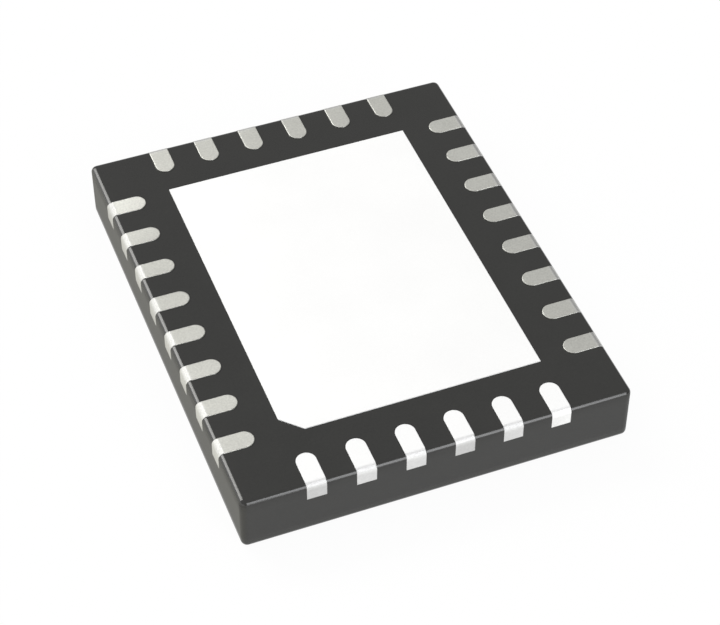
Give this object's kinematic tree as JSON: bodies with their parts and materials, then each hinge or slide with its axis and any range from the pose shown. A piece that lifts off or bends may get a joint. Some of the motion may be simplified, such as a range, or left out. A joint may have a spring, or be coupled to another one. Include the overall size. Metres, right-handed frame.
{
  "type": "qfn chip",
  "caption": "Flat leadless chip package with solder lands round all four edges and a large exposed pad with one chamfered corner, lying solder side up.",
  "frame": {"origin": "centre of the marked face, which the chip rests on, at the bottom centre of its box", "axes": "+X along the short side, +Y along the long side, +Z towards the solder lands. The chamfered pad corner, beside lead 1, is at -X -Y."},
  "size_m": [0.004, 0.005, 0.0007],
  "materials": {
    "mould_compound": "black epoxy moulding compound, fine satin",
    "tinned_copper": "copper with matte tin plate, fine grain",
    "silver_epoxy": "cured silver-filled epoxy, matte",
    "silicon": "ground silicon, dull mirror",
    "gold_wire": "drawn gold, bright"
  },
  "bodies": {
    "root": {"mould_body": "mould_compound", "die_paddle": "tinned_copper", "lead_01": "tinned_copper", "lead_02": "tinned_copper", "lead_03": "tinned_copper", "lead_04": "tinned_copper", "lead_05": "tinned_copper", "lead_06": "tinned_copper", "lead_07": "tinned_copper", "lead_08": "tinned_copper", "lead_09": "tinned_copper", "lead_10": "tinned_copper", "lead_11": "tinned_copper", "lead_12": "tinned_copper", "lead_13": "tinned_copper", "lead_14": "tinned_copper", "lead_15": "tinned_copper", "lead_16": "tinned_copper", "lead_17": "tinned_copper", "lead_18": "tinned_copper", "lead_19": "tinned_copper", "lead_20": "tinned_copper", "lead_21": "tinned_copper", "lead_22": "tinned_copper", "lead_23": "tinned_copper", "lead_24": "tinned_copper", "lead_25": "tinned_copper", "lead_26": "tinned_copper", "lead_27": "tinned_copper", "lead_28": "tinned_copper", "die_attach": "silver_epoxy", "silicon_die": "silicon", "bond_wire_01": "gold_wire", "bond_wire_02": "gold_wire", "bond_wire_03": "gold_wire", "bond_wire_04": "gold_wire", "bond_wire_05": "gold_wire", "bond_wire_06": "gold_wire", "bond_wire_07": "gold_wire", "bond_wire_08": "gold_wire", "bond_wire_09": "gold_wire", "bond_wire_10": "gold_wire", "bond_wire_11": "gold_wire", "bond_wire_12": "gold_wire", "bond_wire_13": "gold_wire", "bond_wire_14": "gold_wire", "bond_wire_15": "gold_wire", "bond_wire_16": "gold_wire", "bond_wire_17": "gold_wire", "bond_wire_18": "gold_wire", "bond_wire_19": "gold_wire", "bond_wire_20": "gold_wire", "bond_wire_21": "gold_wire", "bond_wire_22": "gold_wire", "bond_wire_23": "gold_wire", "bond_wire_24": "gold_wire", "bond_wire_25": "gold_wire", "bond_wire_26": "gold_wire", "bond_wire_27": "gold_wire", "bond_wire_28": "gold_wire"}
  },
  "joints": []
}
